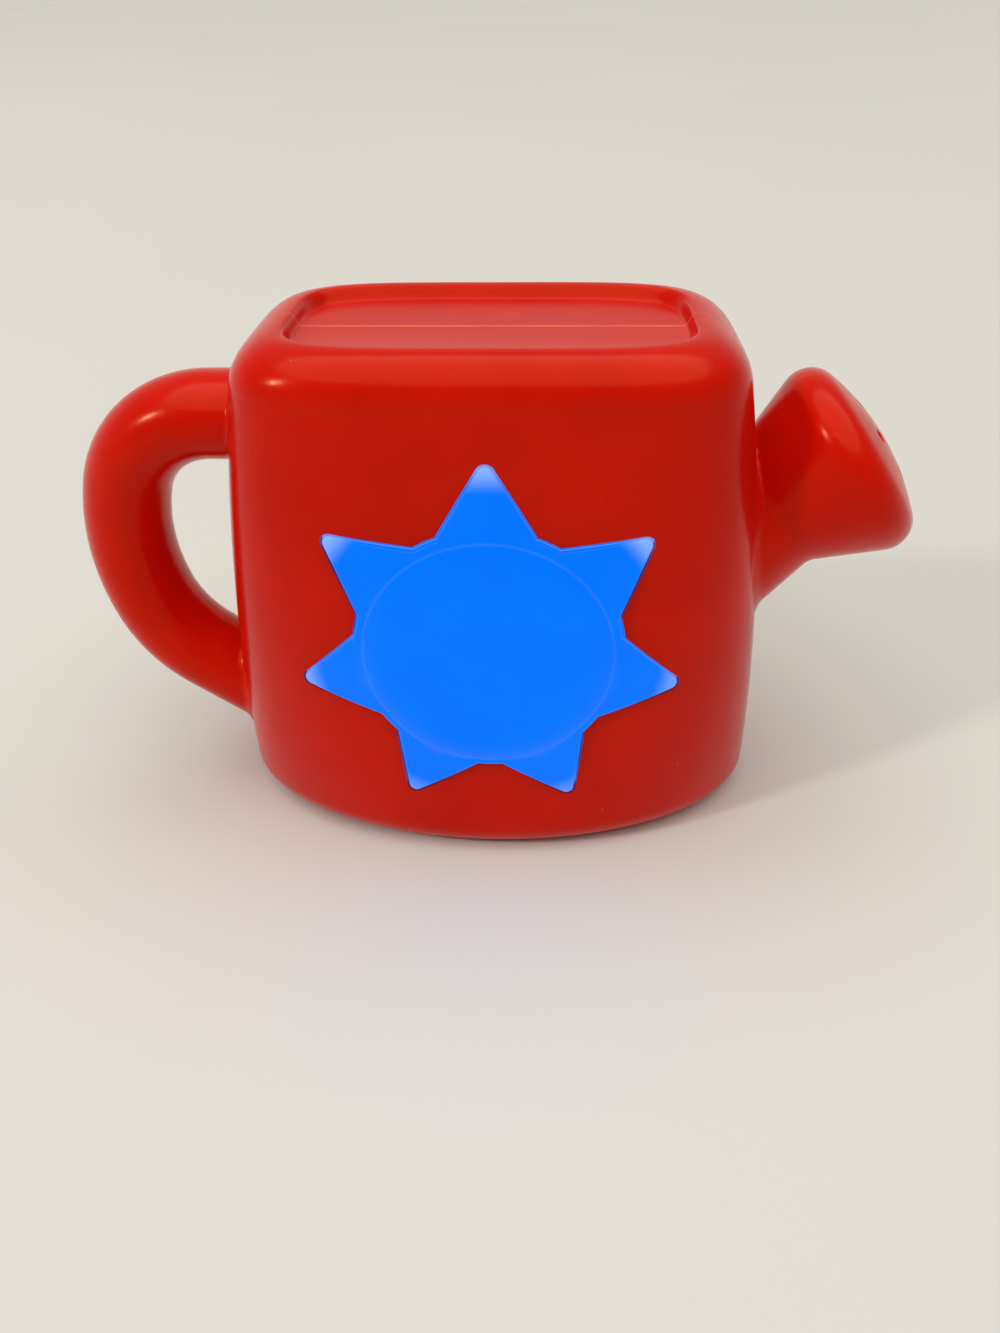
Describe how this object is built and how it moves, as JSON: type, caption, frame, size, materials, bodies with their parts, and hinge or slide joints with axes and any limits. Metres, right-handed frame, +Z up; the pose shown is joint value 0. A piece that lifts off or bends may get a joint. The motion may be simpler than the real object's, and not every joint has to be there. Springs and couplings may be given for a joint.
{
  "type": "toy watering can",
  "caption": "Oval toy watering can with a loop handle, a flared rose and a light-up star push button on its front that plays sounds.",
  "frame": {"origin": "on the floor under the middle of the overall length and depth", "axes": "+X towards the rose, +Y towards the back with the battery door, +Z up"},
  "size_m": [0.1394, 0.0538, 0.0877],
  "materials": {
    "red_plastic": "satin gloss moulded plastic",
    "blue_star_plastic": "translucent, lit from behind",
    "white_plastic": "satin",
    "board_laminate": "solder mask",
    "grey_rubber": "matt",
    "clear_epoxy": "clear lens",
    "black_plastic": "satin",
    "capacitor_sleeve": "shrink sleeve",
    "plated_steel": "bright plated",
    "spring_steel": "bright wire",
    "screw_steel": "zinc plated",
    "speaker_paper": "paper",
    "ferrite": "matt",
    "clamp_plastic": "satin",
    "battery_sleeve": "printed sleeve left plain",
    "black_wire": "insulation",
    "red_wire": "insulation"
  },
  "bodies": {
    "can": {"front_shell": "red_plastic", "rear_shell": "red_plastic", "button_carrier": "white_plastic", "circuit_board": "board_laminate", "switch_dome": "grey_rubber", "led_1": "clear_epoxy", "led_2": "clear_epoxy", "led_3": "clear_epoxy", "sound_chip": "black_plastic", "capacitor": "capacitor_sleeve", "speaker_frame": "plated_steel", "power_switch": "plated_steel", "contact_bridge": "plated_steel", "contact_negative": "plated_steel", "contact_positive": "plated_steel", "button_spring_1": "spring_steel", "button_spring_2": "spring_steel", "button_spring_3": "spring_steel", "battery_spring_1": "spring_steel", "battery_spring_2": "spring_steel", "shell_screw_1": "screw_steel", "shell_screw_2": "screw_steel", "shell_screw_3": "screw_steel", "shell_screw_4": "screw_steel", "shell_screw_5": "screw_steel", "shell_screw_6": "screw_steel", "carrier_screw_1": "screw_steel", "carrier_screw_2": "screw_steel", "carrier_screw_3": "screw_steel", "carrier_screw_4": "screw_steel", "board_screw_1": "screw_steel", "board_screw_2": "screw_steel", "clamp_screw_1": "screw_steel", "clamp_screw_2": "screw_steel", "switch_screw_1": "screw_steel", "switch_screw_2": "screw_steel", "speaker_cone": "speaker_paper", "speaker_magnet": "ferrite", "speaker_clamp": "clamp_plastic", "battery_1": "battery_sleeve", "battery_2": "battery_sleeve", "battery_wire_negative": "black_wire", "speaker_wire_1": "black_wire", "switch_wire_1": "black_wire", "battery_wire_positive": "red_wire", "speaker_wire_2": "red_wire", "switch_wire_2": "red_wire"},
    "star": {"star_button": "blue_star_plastic"},
    "battery_door": {"battery_door": "red_plastic", "door_screw": "screw_steel"},
    "power_knob": {"power_knob": "black_plastic"}
  },
  "joints": [
    {"name": "star_press", "type": "slide", "parent": "can", "child": "star", "axis": [0, 1, 0], "range_m": [0, 0.0018], "stiffness_N_per_m": 600, "springref_m": -0.002, "deforming": ["button_spring_1", "button_spring_2", "button_spring_3", "switch_dome"]},
    {"name": "door_pull", "type": "slide", "parent": "can", "child": "battery_door", "axis": [0, 1, 0], "range_m": [0, 0.03]},
    {"name": "power_slide", "type": "slide", "parent": "can", "child": "power_knob", "axis": [0, 0, 1], "range_m": [0, 0.003]}
  ]
}
